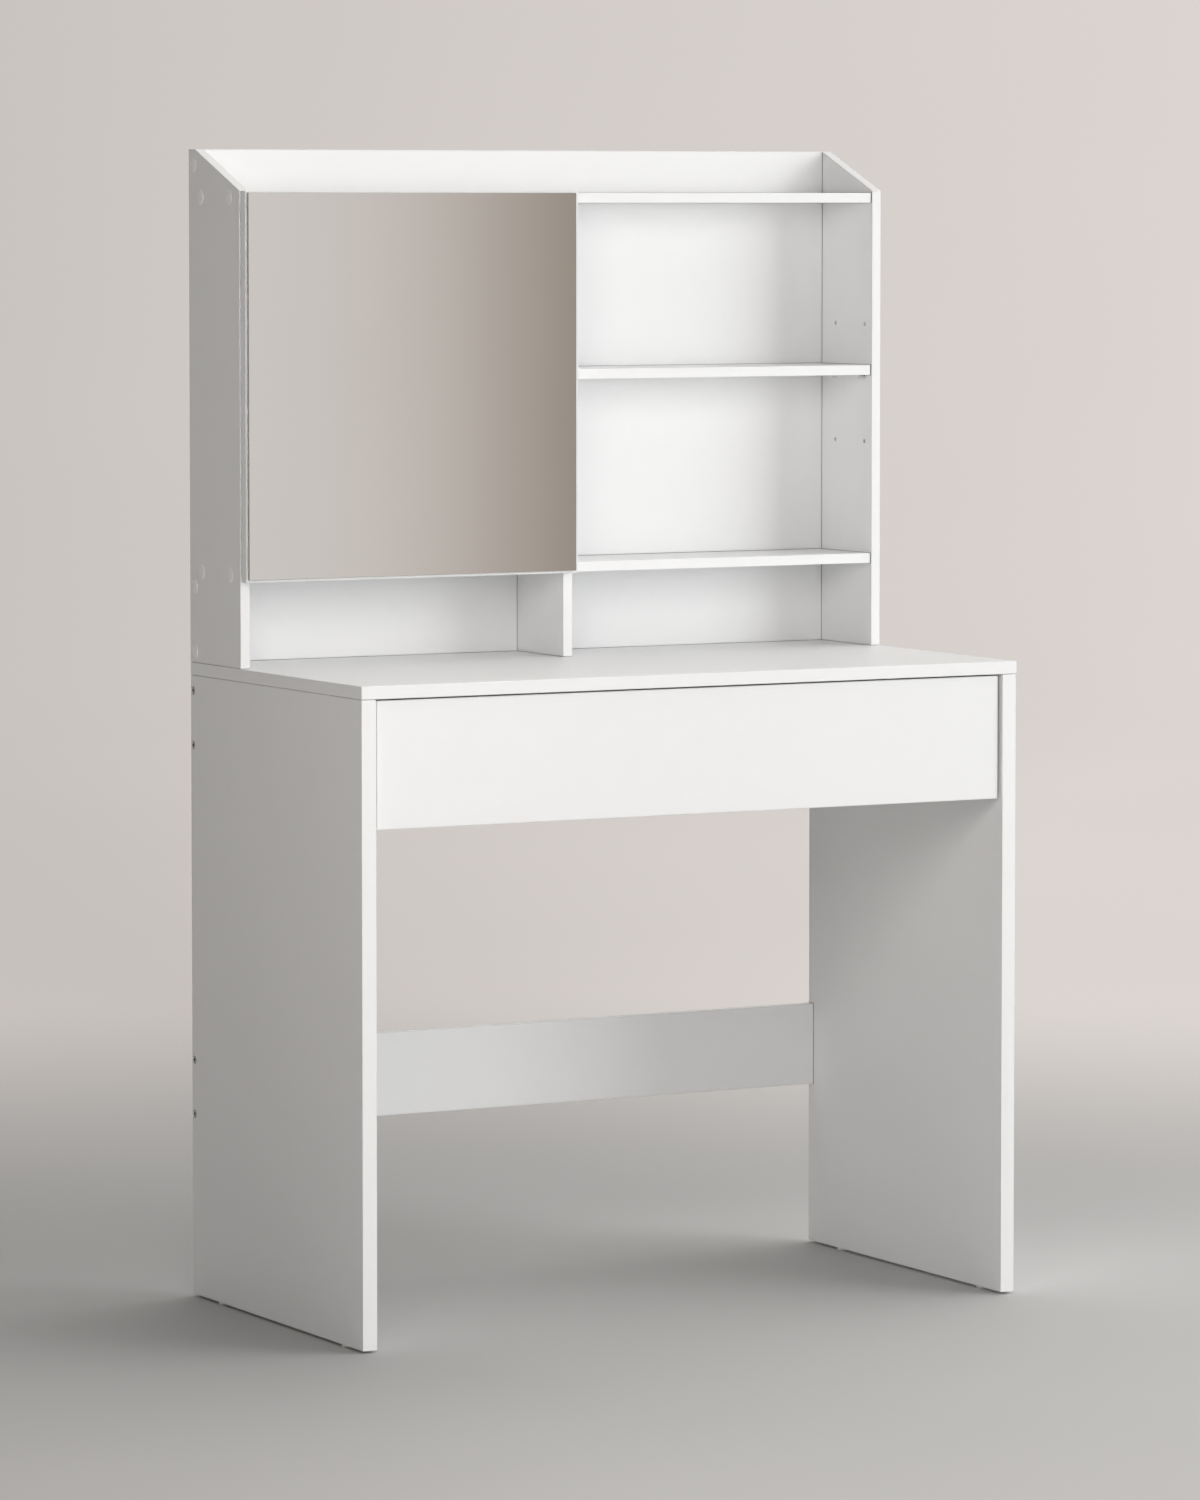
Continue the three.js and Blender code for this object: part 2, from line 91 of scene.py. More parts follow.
def turned(name, profile, place, axis, segments=40, sharp_deg=32.0, spin=0.0):
    """A lathe piece: profile [(radius, height)] from axis to axis, height along the axis."""
    bm = bmesh.new()
    rings = []
    for r, h in profile:
        if r < 1e-7:
            rings.append([bm.verts.new((0, 0, h))])
        else:
            rings.append([bm.verts.new((r * math.cos(2 * math.pi * i / segments), r * math.sin(2 * math.pi * i / segments), h)) for i in range(segments)])
    for a, b in zip(rings, rings[1:]):
        for i in range(segments):
            j = (i + 1) % segments
            if len(a) == 1 and len(b) == 1:
                continue
            if len(a) == 1:
                bm.faces.new((a[0], b[j], b[i]))
            elif len(b) == 1:
                bm.faces.new((a[i], a[j], b[0]))
            else:
                bm.faces.new((a[i], a[j], b[j], b[i]))
    m = Matrix.Translation(Vector(place)) @ basis(axis) @ Matrix.Rotation(spin, 4, "Z")
    bm.transform(m)
    return from_bmesh(name, bm, sharp_deg)


def prism(bm, outline, z0, z1):
    """Adds an upright prism over a flat outline to a bmesh."""
    low = [bm.verts.new((x, y, z0)) for x, y in outline]
    high = [bm.verts.new((x, y, z1)) for x, y in outline]
    n = len(outline)
    bm.faces.new(list(reversed(low)))
    bm.faces.new(high)
    for i in range(n):
        j = (i + 1) % n
        bm.faces.new((low[i], low[j], high[j], high[i]))


def carve(obj, cutters):
    """Takes the cutters out of the piece and keeps the result as its mesh."""
    for c in cutters:
        m = obj.modifiers.new("cut", "BOOLEAN")
        m.operation = "DIFFERENCE"
        m.solver = "EXACT"
        m.object = c
    dg = bpy.context.evaluated_depsgraph_get()
    made = bpy.data.meshes.new_from_object(obj.evaluated_get(dg))
    obj.modifiers.clear()
    old = obj.data
    obj.data = made
    made.name = obj.name
    bpy.data.meshes.remove(old)
    for c in cutters:
        data = c.data
        bpy.data.objects.remove(c)
        bpy.data.meshes.remove(data)
    for p in made.polygons:
        p.use_smooth = True
    made.set_sharp_from_angle(angle=math.radians(32))
    return obj


def clean_group():
    """Joins the imported triangles at their shared corners, drops their stored normals, marks the long
    edges for rounding and keeps the short ones, such as the rims of drilled holes, sharp."""
    g = bpy.data.node_groups.new("weld_clean", "GeometryNodeTree")
    g.interface.new_socket("Geometry", in_out="INPUT", socket_type="NodeSocketGeometry")
    limit = g.interface.new_socket("Shortest", in_out="INPUT", socket_type="NodeSocketFloat")
    limit.default_value = 0.0028
    g.interface.new_socket("Geometry", in_out="OUTPUT", socket_type="NodeSocketGeometry")
    first = g.nodes.new("NodeGroupInput")
    merge = g.nodes.new("GeometryNodeMergeByDistance")
    merge.inputs["Distance"].default_value = 1e-5
    g.links.new(first.outputs[0], merge.inputs["Geometry"])
    last = merge.outputs[0]
    for name in ("custom_normal", "sharp_face", "sharp_edge"):
        r = g.nodes.new("GeometryNodeRemoveAttribute")
        r.inputs["Name"].default_value = name
        g.links.new(last, r.inputs["Geometry"])
        last = r.outputs[0]
    smooth = g.nodes.new("GeometryNodeSetShadeSmooth")
    g.links.new(last, smooth.inputs["Geometry"])
    last = smooth.outputs[0]

    ends = g.nodes.new("GeometryNodeInputMeshEdgeVertices")
    span = g.nodes.new("ShaderNodeVectorMath")
    span.operation = "DISTANCE"
    g.links.new(ends.outputs["Position 1"], span.inputs[0])
    g.links.new(ends.outputs["Position 2"], span.inputs[1])
    angle = g.nodes.new("GeometryNodeInputMeshEdgeAngle")

    def compare(value, limit, op):
        c = g.nodes.new("FunctionNodeCompare")
        c.data_type = "FLOAT"
        c.operation = op
        g.links.new(value, c.inputs[0])
        if isinstance(limit, float):
            c.inputs[1].default_value = limit
        else:
            g.links.new(limit, c.inputs[1])
        return c.outputs[0]

    def both(a, b):
        n = g.nodes.new("FunctionNodeBooleanMath")
        n.operation = "AND"
        g.links.new(a, n.inputs[0])
        g.links.new(b, n.inputs[1])
        return n.outputs[0]

    bent = compare(angle.outputs["Unsigned Angle"], math.radians(32.0), "GREATER_THAN")
    long = compare(span.outputs["Value"], first.outputs[1], "GREATER_THAN")
    short = compare(span.outputs["Value"], first.outputs[1], "LESS_EQUAL")
    keep = g.nodes.new("GeometryNodeSetShadeSmooth")
    keep.domain = "EDGE"
    keep.inputs["Shade Smooth"].default_value = False
    g.links.new(both(bent, short), keep.inputs["Selection"])
    g.links.new(last, keep.inputs["Geometry"])
    store = g.nodes.new("GeometryNodeStoreNamedAttribute")
    store.data_type = "FLOAT"
    store.domain = "EDGE"
    store.inputs["Name"].default_value = "bevel_weight_edge"
    store.inputs["Value"].default_value = 1.0
    g.links.new(both(bent, long), store.inputs["Selection"])
    g.links.new(keep.outputs[0], store.inputs["Geometry"])
    out = g.nodes.new("NodeGroupOutput")
    g.links.new(store.outputs[0], out.inputs[0])
    return g


def crisp_group():
    """Flat shading on the plane faces of a board, so that thin triangles beside its holes shade as the face does."""
    g = bpy.data.node_groups.new("crisp_faces", "GeometryNodeTree")
    g.interface.new_socket("Geometry", in_out="INPUT", socket_type="NodeSocketGeometry")
    g.interface.new_socket("Geometry", in_out="OUTPUT", socket_type="NodeSocketGeometry")
    first = g.nodes.new("NodeGroupInput")
    size = g.nodes.new("ShaderNodeVectorMath")
    size.operation = "ABSOLUTE"
    g.links.new(g.nodes.new("GeometryNodeInputNormal").outputs[0], size.inputs[0])
    parts = g.nodes.new("ShaderNodeSeparateXYZ")
    g.links.new(size.outputs[0], parts.inputs[0])
    most = parts.outputs[0]
    for other in parts.outputs[1:]:
        m = g.nodes.new("ShaderNodeMath")
        m.operation = "MAXIMUM"
        g.links.new(most, m.inputs[0])
        g.links.new(other, m.inputs[1])
        most = m.outputs[0]
    tests = []
    for value, limit in ((most, 0.9999), (g.nodes.new("GeometryNodeInputMeshFaceArea").outputs[0], 3e-4)):
        c = g.nodes.new("FunctionNodeCompare")
        c.data_type = "FLOAT"
        c.operation = "GREATER_THAN"
        g.links.new(value, c.inputs[0])
        c.inputs[1].default_value = limit
        tests.append(c.outputs[0])
    either = g.nodes.new("FunctionNodeBooleanMath")
    either.operation = "OR"
    for i in (0, 1):
        g.links.new(tests[i], either.inputs[i])
    shade = g.nodes.new("GeometryNodeSetShadeSmooth")
    shade.domain = "FACE"
    shade.inputs["Shade Smooth"].default_value = False
    g.links.new(first.outputs[0], shade.inputs["Geometry"])
    g.links.new(either.outputs[0], shade.inputs["Selection"])
    out = g.nodes.new("NodeGroupOutput")
    g.links.new(shade.outputs[0], out.inputs[0])
    return g


CLEAN = clean_group()
CRISP = crisp_group()
DRILLED = ("desk_side_left", "desk_side_right", "hutch_side_left", "hutch_side_right", "divider_upper", "rear_rail_lower", "rear_rail_upper")


def finish_cad(node, material, width, segments=3, shortest=0.0028):
    """Keeps a CAD node: joins its triangles, rounds its edges and gives it its finish."""
    obj = NODES[node]
    obj.data.materials.clear()
    obj.data.materials.append(material)
    m = obj.modifiers.new("clean", "NODES")
    m.node_group = CLEAN
    m[[i.identifier for i in CLEAN.interface.items_tree if i.name == "Shortest"][0]] = shortest
    b = obj.modifiers.new("bevel", "BEVEL")
    b.width = width
    b.segments = segments
    b.limit_method = "WEIGHT"
    b.loop_slide = False
    plane = node in DRILLED or node.startswith("slide_")
    b.harden_normals = not plane
    if plane:
        obj.modifiers.new("crisp", "NODES").node_group = CRISP
    return obj


# --------------------------------------------------------------- materials


class Tree:
    """Short names for building a material's nodes."""

    def __init__(self, name):
        self.mat = bpy.data.materials.new(name)
        self.mat.use_nodes = True
        self.t = self.mat.node_tree
        self.t.nodes.clear()
        self.out = self.t.nodes.new("ShaderNodeOutputMaterial")
        self.bsdf = self.t.nodes.new("ShaderNodeBsdfPrincipled")
        self.t.links.new(self.bsdf.outputs[0], self.out.inputs[0])
        self.coord = self.t.nodes.new("ShaderNodeTexCoord")
        self.p = self.coord.outputs["Object"]
        self.normal = self.coord.outputs["Normal"]

    def node(self, kind, **props):
        n = self.t.nodes.new(kind)
        for k, v in props.items():
            setattr(n, k, v)
        return n

    def put(self, socket, value):
        if hasattr(value, "is_output") or isinstance(value, bpy.types.NodeSocket):
            self.t.links.new(value, socket)
        else:
            socket.default_value = value

    def math(self, op, a, b=None, c=None, clamp=False):
        n = self.node("ShaderNodeMath", operation=op, use_clamp=clamp)
        for s, v in zip(n.inputs, (a, b, c)):
            if v is not None:
                self.put(s, v)
        return n.outputs[0]

    def stretch(self, scale):
        n = self.node("ShaderNodeVectorMath", operation="MULTIPLY")
        self.put(n.inputs[0], self.p)
        n.inputs[1].default_value = scale
        return n.outputs[0]

    def noise(self, scale, detail=2.0, rough=0.5, vector=None):
        n = self.node("ShaderNodeTexNoise")
        self.put(n.inputs["Vector"], vector or self.p)
        n.inputs["Scale"].default_value = scale
        n.inputs["Detail"].default_value = detail
        n.inputs["Roughness"].default_value = rough
        return n.outputs["Fac"]

    def span(self, value, a, b, lo, hi, how="LINEAR"):
        """Maps value from a..b to lo..hi, held at the ends."""
        n = self.node("ShaderNodeMapRange")
        n.interpolation_type = how
        n.clamp = True
        self.put(n.inputs["Value"], value)
        n.inputs["From Min"].default_value = a
        n.inputs["From Max"].default_value = b
        n.inputs["To Min"].default_value = lo
        n.inputs["To Max"].default_value = hi
        return n.outputs[0]

    def mix(self, factor, a, b):
        n = self.node("ShaderNodeMix", data_type="RGBA")
        self.put(n.inputs[0], factor)
        for s, v in ((n.inputs[6], a), (n.inputs[7], b)):
            self.put(s, (*v, 1.0) if isinstance(v, tuple) else v)
        return n.outputs[2]

    def scaled(self, colour, factor):
        """A colour times a number."""
        n = self.node("ShaderNodeMix", data_type="RGBA", blend_type="MULTIPLY")
        n.inputs[0].default_value = 1.0
        self.put(n.inputs[6], (*colour, 1.0) if isinstance(colour, tuple) else colour)
        c = self.node("ShaderNodeCombineColor")
        for s in c.inputs:
            self.put(s, factor)
        self.put(n.inputs[7], c.outputs[0])
        return n.outputs[2]

    def bump(self, height, distance, strength=1.0, normal=None):
        n = self.node("ShaderNodeBump")
        n.inputs["Strength"].default_value = strength
        n.inputs["Distance"].default_value = distance
        self.put(n.inputs["Height"], height)
        if normal is not None:
            self.put(n.inputs["Normal"], normal)
        return n.outputs[0]

    def xyz(self, vector):
        n = self.node("ShaderNodeSeparateXYZ")
        self.put(n.inputs[0], vector)
        return n.outputs

    def set(self, **values):
        names = {"colour": "Base Color", "rough": "Roughness", "metal": "Metallic", "normal": "Normal", "spec": "Specular IOR Level",
                 "ior": "IOR", "coat": "Coat Weight", "coat_rough": "Coat Roughness"}
        for k, v in values.items():
            self.put(self.bsdf.inputs[names[k]], (*v, 1.0) if isinstance(v, tuple) and len(v) == 3 else v)
        return self.mat


def seed_of(name):
    """A fixed number between 0 and 1 for a name."""
    h = 0
    for ch in name:
        h = (h * 131 + ord(ch)) % 1000003
    return (h % 997) / 997.0


FIXED_BOARDS = ("desk_top", "desk_side_left", "desk_side_right", "rear_rail_lower", "rear_rail_upper", "hutch_side_left",
                "hutch_side_right", "hutch_bottom_shelf", "hutch_top_shelf", "hutch_back_lower", "hutch_back_middle", "hutch_back_top",
                "divider_lower", "divider_upper", "adjustable_shelf_left", "adjustable_shelf_right")


def joints_on(node, thick):
    """Where the ends of other boards stand on the two big faces of this board: (+1 or -1, low corner, high corner)."""
    if node not in FIXED_BOARDS:
        return []
    lo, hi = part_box(node)
    flat = [i for i in range(3) if i != thick]
    found = []
    for other in FIXED_BOARDS:
        if other == node:
            continue
        a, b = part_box(other)
        if any(min(hi[i], b[i]) - max(lo[i], a[i]) < 0.003 for i in flat):
            continue
        for s, gap in ((1, a[thick] - hi[thick]), (-1, lo[thick] - b[thick])):
            if -1e-4 < gap < 0.0016:
                found.append((s, [a[i] for i in flat], [b[i] for i in flat]))
    return found


def board_material(node, colour=(WHITE * 0.994, WHITE * 0.998, WHITE * 1.002), rough=0.40, band=True):
    """White melamine-faced board with edge bands: the bands' ends show as a fine line along each edge."""
    lo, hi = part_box(node)
    size = [hi[i] - lo[i] for i in range(3)]
    thick = size.index(min(size))
    t = Tree("board_" + node)
    k = 1.0 + (seed_of(node) - 0.5) * 0.012
    base = tuple(c * k for c in colour)
    broad = t.noise(2.1, 2.0)
    fleck = t.noise(420.0, 3.0, 0.6)
    cloud = t.noise(34.0, 2.0)
    tone = t.math("ADD", t.span(broad, 0.3, 0.7, -0.008, 0.008), t.span(fleck, 0.25, 0.75, -0.006, 0.006))
    tone = t.math("ADD", tone, t.span(cloud, 0.3, 0.7, 0.996, 1.004))
    shade = t.scaled(base, tone)
    r = t.math("ADD", t.span(cloud, 0.3, 0.7, rough - 0.03, rough + 0.03), t.span(broad, 0.3, 0.7, -0.02, 0.02))
    peel = t.noise(1500.0, 2.0, 0.55)
    wave = t.noise(26.0, 1.0)
    normal = t.bump(wave, 2.2e-5)
    normal = t.bump(peel, 4.5e-6, 1.0, normal)
    if band:
        pos = t.xyz(t.p)
        dist = None
        for i in range(3):
            if i == thick:
                continue
            for edge, s in ((lo[i], 1), (hi[i], -1)):
                d = t.math("MULTIPLY_ADD", pos[i], float(s), -float(s) * edge)
                dist = d if dist is None else t.math("MINIMUM", dist, d)
        side = t.math("ABSOLUTE", t.xyz(t.normal)[thick])
        flat = t.span(side, 0.80, 0.98, 0.0, 1.0)            # 1 on the two big faces
        line = t.math("MULTIPLY", t.span(t.math("ABSOLUTE", t.math("SUBTRACT", dist, 0.00105)), 0.00010, 0.00030, 1.0, 0.0), flat)
        shade = t.mix(t.math("MULTIPLY", line, 0.30), shade, (0.52, 0.50, 0.47))
        joint_shade = None                                          # painted shade: dark lines where other boards meet this one, standing in for the shadow in the joint
        axes = [i for i in range(3) if i != thick]
        for s, a, b in joints_on(node, thick):
            far = None
            for i, low, high in zip(axes, a, b):
                for d in (t.math("SUBTRACT", low, pos[i]), t.math("SUBTRACT", pos[i], high)):
                    far = d if far is None else t.math("MAXIMUM", far, d)
            here = t.span(t.math("MULTIPLY", t.xyz(t.normal)[thick], float(s)), 0.80, 0.98, 0.0, 1.0)
            mark = t.math("MULTIPLY", t.span(far, 0.00030, 0.00075, 1.0, 0.0), here)
            joint_shade = mark if joint_shade is None else t.math("MAXIMUM", joint_shade, mark)
        if joint_shade is not None:
            # painted shade in the joints: a near-black colour mixed in along the lines where other boards stand
            shade = t.mix(t.math("MULTIPLY", joint_shade, 0.80), shade, (0.24, 0.235, 0.23))
        strip = t.math("SUBTRACT", 1.0, flat)                # the bands themselves
        cool = tuple(min(1.0, c * 1.012) for c in base)
        shade = t.mix(t.math("MULTIPLY", strip, 0.7), shade, cool)
        r = t.math("MULTIPLY_ADD", strip, -0.06, r)
    return t.set(colour=shade, rough=r, normal=normal, spec=0.5)


def foil_material(name, colour, rough=0.5, grain=True):
    """Matt foil on the drawer's boards, with a faint printed grain along them."""
    t = Tree(name)
    broad = t.noise(3.0, 2.0)
    fine = t.noise(300.0, 3.0, 0.6)
    tone = t.math("ADD", t.span(broad, 0.3, 0.7, 0.985, 1.01), t.span(fine, 0.25, 0.75, -0.012, 0.012))
    shade = t.scaled(colour, tone)
    height = t.noise(900.0, 3.0, 0.6)
    normal = t.bump(height, 9e-6)
    r = t.span(t.noise(60.0, 2.0), 0.3, 0.7, rough - 0.05, rough + 0.05)
    return t.set(colour=shade, rough=r, normal=normal, spec=0.4)


def metal_material(name, colour, rough, streak=(1.0, 1.0, 1.0), contrast=0.05):
    t = Tree(name)
    cloud = t.noise(160.0, 3.0, 0.6)
    line = t.noise(1800.0, 2.0, 0.6, t.stretch(streak))
    tone = t.math("ADD", t.span(cloud, 0.3, 0.7, 1.0 - contrast, 1.0 + contrast * 0.4), t.span(line, 0.3, 0.7, -0.03, 0.03))
    shade = t.scaled(colour, tone)
    r = t.math("ADD", t.span(cloud, 0.3, 0.7, rough - 0.05, rough + 0.06), t.span(line, 0.3, 0.7, -0.03, 0.03))
    return t.set(colour=shade, rough=r, metal=1.0, normal=t.bump(line, 3e-6))


def shaded_rim_screw_material():
    """Nickel with painted shade on its rim: the sloped rim of the head is darkened, so the head shows as a dark ring
    with a light middle.
    """
    t = Tree("screw_nickel")
    cloud = t.noise(420.0, 3.0, 0.6)
    line = t.noise(1800.0, 2.0, 0.6, t.stretch((0.2, 1.0, 1.0)))
    facing = t.math("ABSOLUTE", t.xyz(t.normal)[0])
    # painted shade: the sloped rim, turned away from the screw's axis, is darkened to near black
    tone = t.math("MULTIPLY", t.span(facing, 0.90, 0.995, 0.12, 1.0), t.span(cloud, 0.3, 0.7, 0.92, 1.03))
    shade = t.scaled((0.74, 0.73, 0.71), tone)
    return t.set(colour=shade, rough=t.span(line, 0.3, 0.7, 0.20, 0.32), metal=1.0, normal=t.bump(line, 3e-6))


def plastic_material(name, colour, rough=0.42):
    t = Tree(name)
    cloud = t.noise(260.0, 2.0)
    tone = t.span(cloud, 0.3, 0.7, 0.985, 1.012)
    shade = t.scaled(colour, tone)
    r = t.span(t.noise(500.0, 2.0), 0.3, 0.7, rough - 0.05, rough + 0.05)
    return t.set(colour=shade, rough=r, normal=t.bump(t.noise(2600.0, 2.0), 4e-6), spec=0.5)


def mirror_materials():
    """Silvered face, ground glass edge and the grey paint on the back."""
    t = Tree("mirror_face")
    film = t.noise(7.0, 3.0, 0.55)
    wipe = t.noise(60.0, 2.0, 0.5, t.stretch((1.0, 1.0, 0.25)))
    shade = t.scaled((0.865, 0.872, 0.866), t.span(film, 0.3, 0.7, 0.993, 1.004))
    r = t.math("ADD", t.span(film, 0.35, 0.75, 0.008, 0.020), t.span(wipe, 0.45, 0.8, 0.0, 0.008))
    face = t.set(colour=shade, rough=r, metal=1.0)
    t = Tree("mirror_edge")
    grind = t.noise(2400.0, 2.0, 0.6, t.stretch((1.0, 3.0, 1.0)))
    right_edge_shade = t.span(t.xyz(t.normal)[0], 0.1, 0.5, 0.0, 1.0)      # painted shade: the edge facing +X, next to the open compartments, is made near black as its shadow line
    shade = t.scaled(t.mix(right_edge_shade, (0.40, 0.405, 0.39), (0.07, 0.07, 0.068)), t.span(grind, 0.3, 0.7, 0.88, 1.1))
    edge = t.set(colour=shade, rough=t.span(grind, 0.3, 0.7, 0.22, 0.36), normal=t.bump(grind, 6e-6), spec=0.6)
    t = Tree("mirror_back")
    roll = t.noise(700.0, 3.0, 0.6)
    shade = t.scaled((0.30, 0.31, 0.32), t.span(roll, 0.3, 0.7, 0.93, 1.06))
    back = t.set(colour=shade, rough=0.55, normal=t.bump(roll, 1.2e-5))
    return face, edge, back


DRAWER_FOIL = foil_material("drawer_foil", (0.86, 0.852, 0.835))
THIN_PAINT = foil_material("thin_paint", (0.81, 0.795, 0.77), 0.58)
ZINC = metal_material("zinc_steel", (0.70, 0.715, 0.73), 0.30, (1.0, 0.06, 1.0))
HINGE_STEEL = metal_material("hinge_nickel", (0.76, 0.755, 0.74), 0.24)
NICKEL = metal_material("nickel", (0.80, 0.79, 0.77), 0.20)
SCREW_NICKEL = shaded_rim_screw_material()
PLASTIC = plastic_material("moulded_plastic", (0.86, 0.855, 0.845))
CAP_PLASTIC = plastic_material("cap_plastic", (0.985, 0.982, 0.975), 0.30)
DARK_PLASTIC = plastic_material("stop_plastic", (0.055, 0.056, 0.058), 0.5)
MIRROR_FACE, MIRROR_EDGE, MIRROR_BACK = mirror_materials()

# ------------------------------------------------------------------ boards

BOARDS = {
    "desk_top": 0.9, "desk_side_left": 0.4, "desk_side_right": 0.4, "rear_rail_lower": 0.6, "rear_rail_upper": 0.6, "drawer_front": 0.8,
    "hutch_side_left": 0.6, "hutch_side_right": 0.6, "hutch_bottom_shelf": 0.6, "hutch_top_shelf": 0.6, "hutch_back_lower": 0.5,
    "hutch_back_middle": 0.5, "hutch_back_top": 0.6, "divider_lower": 0.6, "divider_upper": 0.6, "adjustable_shelf_left": 0.6,
    "adjustable_shelf_right": 0.6, "mirror_door": 0.7,
}
for name, width in BOARDS.items():
    finish_cad(name, board_material(name), width / 1000)
for name in ("drawer_side_left", "drawer_side_right", "drawer_back"):
    finish_cad(name, DRAWER_FOIL, 0.0008)
finish_cad("drawer_bottom", THIN_PAINT, 0.0003)

for name in NODES:
    if name.startswith("slide_"):
        finish_cad(name, ZINC, 0.0003, 2)
    elif name.startswith("hinge_"):
        finish_cad(name, HINGE_STEEL, 0.0002, 2, 0.0)
    elif name.startswith("shelf_pin"):
        finish_cad(name, NICKEL, 0.0002, 2, 0.0)

# ------------------------------------------------------------------ mirror


def make_mirror():
    lo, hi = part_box("mirror")
    arris = 0.0004
    bm = bmesh.new()
    y0, y1 = lo.y, hi.y

    def ring(inset, y):
        return [bm.verts.new(v) for v in ((lo.x + inset, y, lo.z + inset), (hi.x - inset, y, lo.z + inset), (hi.x - inset, y, hi.z - inset), (lo.x + inset, y, hi.z - inset))]

    rings = [ring(arris, y0), ring(0.0, y0 + arris * 0.8), ring(0.0, y1 - 0.0003), ring(0.0003, y1)]
    face = bm.faces.new(rings[0])
    face.material_index = 0
    for a, b in zip(rings, rings[1:]):
        for i in range(4):
            j = (i + 1) % 4
            f = bm.faces.new((a[i], b[i], b[j], a[j]))
            f.material_index = 1
    back = bm.faces.new(list(reversed(rings[3])))
    back.material_index = 2
    bmesh.ops.recalc_face_normals(bm, faces=bm.faces)
    mesh = bpy.data.meshes.new("mirror_plate")
    bm.to_mesh(mesh)
    bm.free()
    obj = link_object("mirror_plate", mesh)
    for m in (MIRROR_FACE, MIRROR_EDGE, MIRROR_BACK):
        mesh.materials.append(m)
    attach(obj, "door")
    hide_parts("mirror")


make_mirror()

# -------------------------------------------------- screws, glides and caps

SCREW_Z = {1: 0.217, 2: 0.281, 3: 0.6527, 4: 0.7167}


def hexagon(r, z0, z1, spin=0.0):
    bm = bmesh.new()
    prism(bm, [(r * math.cos(spin + math.pi / 3 * i), r * math.sin(spin + math.pi / 3 * i)) for i in range(6)], z0, z1)
    return bm


def rail_screw(side, i):
    s = -1 if side == "left" else 1
    lo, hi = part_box(f"rail_screw_{side}_{i}")
    face = lo.x if s < 0 else hi.x
    place = (face, 0.219, SCREW_Z[i])
    axis = (s, 0, 0)
    mm = 0.001
    profile = [(0, 0), (2.9 * mm, 0), (3.9 * mm, -0.18 * mm), (4.4 * mm, -0.55 * mm), (4.6 * mm, -1.0 * mm), (4.6 * mm, -2.1 * mm), (2.5 * mm, -2.4 * mm)]
    h = 2.4
    while h < 44:
        profile += [(2.5 * mm, -(h + 0.9) * mm), (1.95 * mm, -(h + 1.5) * mm), (2.5 * mm, -(h + 2.1) * mm)] if h > 18 else [(2.5 * mm, -(h + 2.1) * mm)]
        h += 2.1
    profile += [(2.2 * mm, -(h + 0.8) * mm), (0.9 * mm, -(h + 3.2) * mm), (0, -(h + 3.4) * mm)]
    obj = turned(f"rail_bolt_{side}_{i}", profile, place, axis, 36)
    bm = hexagon(2.35 * mm, -1.9 * mm, 1 * mm, 0.3 * i)
    bm.transform(Matrix.Translation(Vector(place)) @ basis(axis))
    cutter = from_bmesh("socket", bm)
    carve(obj, [cutter])
    obj.data.materials.append(SCREW_NICKEL)
    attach(obj, "carcass")
    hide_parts(f"rail_screw_{side}_{i}")


for side in ("left", "right"):
    for i in (1, 2, 3, 4):
        rail_screw(side, i)


def glide(name):
    lo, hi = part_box(name)
    cx, cy = (lo.x + hi.x) / 2, (lo.y + hi.y) / 2
    mm = 0.001
    profile = [(0, 1.0 * mm), (2.0 * mm, 1.0 * mm), (2.6 * mm, 0.15 * mm), (3.2 * mm, 0.0), (7.5 * mm, 0.0), (8.1 * mm, 0.12 * mm), (8.42 * mm, 0.4 * mm), (8.5 * mm, 0.8 * mm),
               (8.5 * mm, 2.55 * mm), (8.35 * mm, 2.7 * mm), (1.5 * mm, 2.7 * mm), (1.5 * mm, 13.2 * mm), (0.0, 15.1 * mm)]
    obj = turned(name.replace("glide", "nail_glide"), profile, (cx, cy, 0), (0, 0, 1), 40)
    obj.data.materials.append(PLASTIC)
    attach(obj, "carcass")
    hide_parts(name)


for name in [n for n in NODES if n.startswith("glide")]:
    glide(name)

CAPS = [(213, 1331.5), (193, 1294), (116.5, 1294), (193, 857), (116.5, 857), (213, 838.5), (213, 763.5)]


def caps():
    mm = 0.001
    profile = [(0, 0.78 * mm), (6.0 * mm, 0.74 * mm), (7.6 * mm, 0.62 * mm), (8.5 * mm, 0.42 * mm), (8.9 * mm, 0.18 * mm), (9.0 * mm, -0.02 * mm), (6.5 * mm, -0.05 * mm), (0, -0.05 * mm)]
    for side, s in (("left", -1), ("right", 1)):
        for i, (y, z) in enumerate(CAPS):
            obj = turned(f"cover_cap_{side}_{i + 1}", profile, (s * 0.43, y * mm, z * mm), (s, 0, 0), 44, 40)
            obj.data.materials.append(CAP_PLASTIC)
            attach(obj, "carcass")


caps()


def cross(h, depth, arm, half):
    """A cross recess to cut from the top of a screw head of height h."""
    bm = bmesh.new()
    a, b = arm, half
    prism(bm, [(a, -b), (a, b), (b, b), (b, a), (-b, a), (-b, b), (-a, b), (-a, -b), (-b, -b), (-b, -a), (b, -a), (b, -b)], h - depth, h + 0.001)
    return bm


